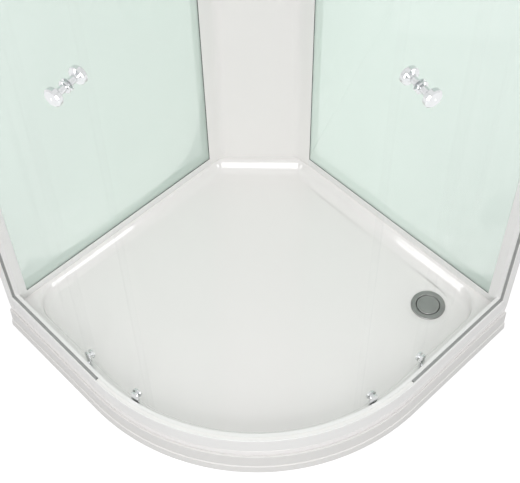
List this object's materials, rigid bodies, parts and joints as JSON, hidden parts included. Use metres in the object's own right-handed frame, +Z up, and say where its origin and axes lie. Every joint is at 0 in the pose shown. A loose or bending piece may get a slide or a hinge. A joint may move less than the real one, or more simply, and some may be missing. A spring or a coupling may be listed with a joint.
{
  "type": "quadrant shower enclosure",
  "caption": "Quadrant shower enclosure with a low tray on a levelling frame, tinted rear walls, a corner column and curved sliding doors on rollers.",
  "frame": {"origin": "centre of the 900 mm square that the enclosure fills, on the floor", "axes": "+Z up; the house walls are on the -X and +Y sides, and the curved front faces +X -Y"},
  "size_m": [0.9, 0.9, 2],
  "materials": {
    "acrylic": "vacuum-formed sanitary acrylic, glossy white",
    "white_moulding": "smooth white moulding, soft gloss",
    "white_aluminium": "white powder coat on extruded aluminium",
    "tinted_glass": "toughened glass with a pale green tint",
    "clear_glass": "clear toughened glass",
    "black_gasket": "matt black glazing rubber",
    "clear_seal": "clear soft plastic extrusion",
    "chrome": "polished chrome plate",
    "zinc_steel": "bright zinc plate",
    "painted_steel": "grey paint on welded steel tube",
    "base_board": "moisture-proof chipboard, sealed",
    "black_plastic": "moulded black polypropylene",
    "white_plastic": "moulded white polypropylene",
    "nylon": "turned nylon"
  },
  "bodies": {
    "enclosure": {"tray_shell": "acrylic", "tray_board": "base_board", "tray_frame": "painted_steel", "levelling_studs": "zinc_steel", "levelling_nuts": "zinc_steel", "foot_pads": "black_plastic", "frame_screws": "zinc_steel", "waste_flange": "chrome", "waste_gasket": "black_gasket", "waste_body": "white_plastic", "waste_pipe": "white_plastic", "waste_nut": "white_plastic", "front_apron": "acrylic", "apron_brackets": "zinc_steel", "bottom_rail": "white_aluminium", "top_rail": "white_aluminium", "sill_cover": "white_moulding", "rail_screws": "zinc_steel", "wall_screws": "zinc_steel", "corner_column": "white_moulding", "column_cap": "white_moulding", "door_stops": "black_gasket", "wall_post_left": "white_aluminium", "wall_post_right": "white_aluminium", "wall_sill_left": "white_aluminium", "wall_sill_right": "white_aluminium", "wall_head_left": "white_aluminium", "wall_head_right": "white_aluminium", "wall_glass_left": "tinted_glass", "wall_glass_right": "tinted_glass", "wall_gasket_left": "black_gasket", "wall_gasket_right": "black_gasket", "fixed_pane_left": "clear_glass", "fixed_pane_right": "clear_glass", "glazing_strip_left": "clear_seal", "glazing_strip_right": "clear_seal", "pane_seal_left": "clear_seal", "pane_seal_right": "clear_seal"},
    "door_left": {"door_glass_left": "clear_glass", "magnet_seal_left": "clear_seal", "edge_seal_left": "clear_seal", "door_knob_left": "chrome", "roller_plates_left": "chrome"},
    "door_right": {"door_glass_right": "clear_glass", "magnet_seal_right": "clear_seal", "edge_seal_right": "clear_seal", "door_knob_right": "chrome", "roller_plates_right": "chrome"},
    "bottom_wheel_lead_left": {"bottom_wheel_lead_left": "nylon"},
    "bottom_wheel_trail_left": {"bottom_wheel_trail_left": "nylon"},
    "top_wheel_lead_left": {"top_wheel_lead_left": "nylon"},
    "top_wheel_trail_left": {"top_wheel_trail_left": "nylon"},
    "bottom_wheel_lead_right": {"bottom_wheel_lead_right": "nylon"},
    "bottom_wheel_trail_right": {"bottom_wheel_trail_right": "nylon"},
    "top_wheel_lead_right": {"top_wheel_lead_right": "nylon"},
    "top_wheel_trail_right": {"top_wheel_trail_right": "nylon"},
    "strainer": {"waste_strainer": "black_plastic"},
    "cap": {"waste_cap": "chrome"}
  },
  "joints": [
    {"name": "door_left_travel", "type": "hinge", "parent": "enclosure", "child": "door_left", "pos_m": [-0.1, 0.1, 0], "axis": [0, 0, 1], "range_deg": [0, 27]},
    {"name": "door_right_travel", "type": "hinge", "parent": "enclosure", "child": "door_right", "pos_m": [-0.1, 0.1, 0], "axis": [0, 0, -1], "range_deg": [0, 27]},
    {"name": "bottom_wheel_lead_left_spin", "type": "hinge", "parent": "door_left", "child": "bottom_wheel_lead_left", "pos_m": [0.01347, -0.41182, 0.1275], "axis": [0.2164, -0.9763, 0], "range_deg": [-1731, 0]},
    {"name": "bottom_wheel_trail_left_spin", "type": "hinge", "parent": "door_left", "child": "bottom_wheel_trail_left", "pos_m": [-0.15025, -0.42184, 0.1275], "axis": [-0.0958, -0.9954, 0], "range_deg": [-1731, 0]},
    {"name": "top_wheel_lead_left_spin", "type": "hinge", "parent": "door_left", "child": "top_wheel_lead_left", "pos_m": [0.01347, -0.41182, 1.9748], "axis": [0.2164, -0.9763, 0], "range_deg": [-1137, 0]},
    {"name": "top_wheel_trail_left_spin", "type": "hinge", "parent": "door_left", "child": "top_wheel_trail_left", "pos_m": [-0.15025, -0.42184, 1.9748], "axis": [-0.0958, -0.9954, 0], "range_deg": [-1137, 0]},
    {"name": "bottom_wheel_lead_right_spin", "type": "hinge", "parent": "door_right", "child": "bottom_wheel_lead_right", "pos_m": [0.41182, -0.01347, 0.1275], "axis": [0.9763, -0.2164, 0], "range_deg": [0, 1731]},
    {"name": "bottom_wheel_trail_right_spin", "type": "hinge", "parent": "door_right", "child": "bottom_wheel_trail_right", "pos_m": [0.42184, 0.15025, 0.1275], "axis": [0.9954, 0.0958, 0], "range_deg": [0, 1731]},
    {"name": "top_wheel_lead_right_spin", "type": "hinge", "parent": "door_right", "child": "top_wheel_lead_right", "pos_m": [0.41182, -0.01347, 1.9748], "axis": [0.9763, -0.2164, 0], "range_deg": [0, 1137]},
    {"name": "top_wheel_trail_right_spin", "type": "hinge", "parent": "door_right", "child": "top_wheel_trail_right", "pos_m": [0.42184, 0.15025, 1.9748], "axis": [0.9954, 0.0958, 0], "range_deg": [0, 1137]},
    {"name": "strainer_lift", "type": "slide", "parent": "enclosure", "child": "strainer", "axis": [0, 0, 1], "range_m": [0, 0.06]},
    {"name": "cap_lift", "type": "slide", "parent": "strainer", "child": "cap", "axis": [0, 0, 1], "range_m": [0, 0.025]}
  ],
  "couplings": [
    {"joint": "bottom_wheel_lead_left_spin", "follows": "door_left_travel", "ratio": -63.933},
    {"joint": "bottom_wheel_trail_left_spin", "follows": "door_left_travel", "ratio": -63.933},
    {"joint": "top_wheel_lead_left_spin", "follows": "door_left_travel", "ratio": -41.94},
    {"joint": "top_wheel_trail_left_spin", "follows": "door_left_travel", "ratio": -41.94},
    {"joint": "bottom_wheel_lead_right_spin", "follows": "door_right_travel", "ratio": 63.933},
    {"joint": "bottom_wheel_trail_right_spin", "follows": "door_right_travel", "ratio": 63.933},
    {"joint": "top_wheel_lead_right_spin", "follows": "door_right_travel", "ratio": 41.94},
    {"joint": "top_wheel_trail_right_spin", "follows": "door_right_travel", "ratio": 41.94}
  ]
}
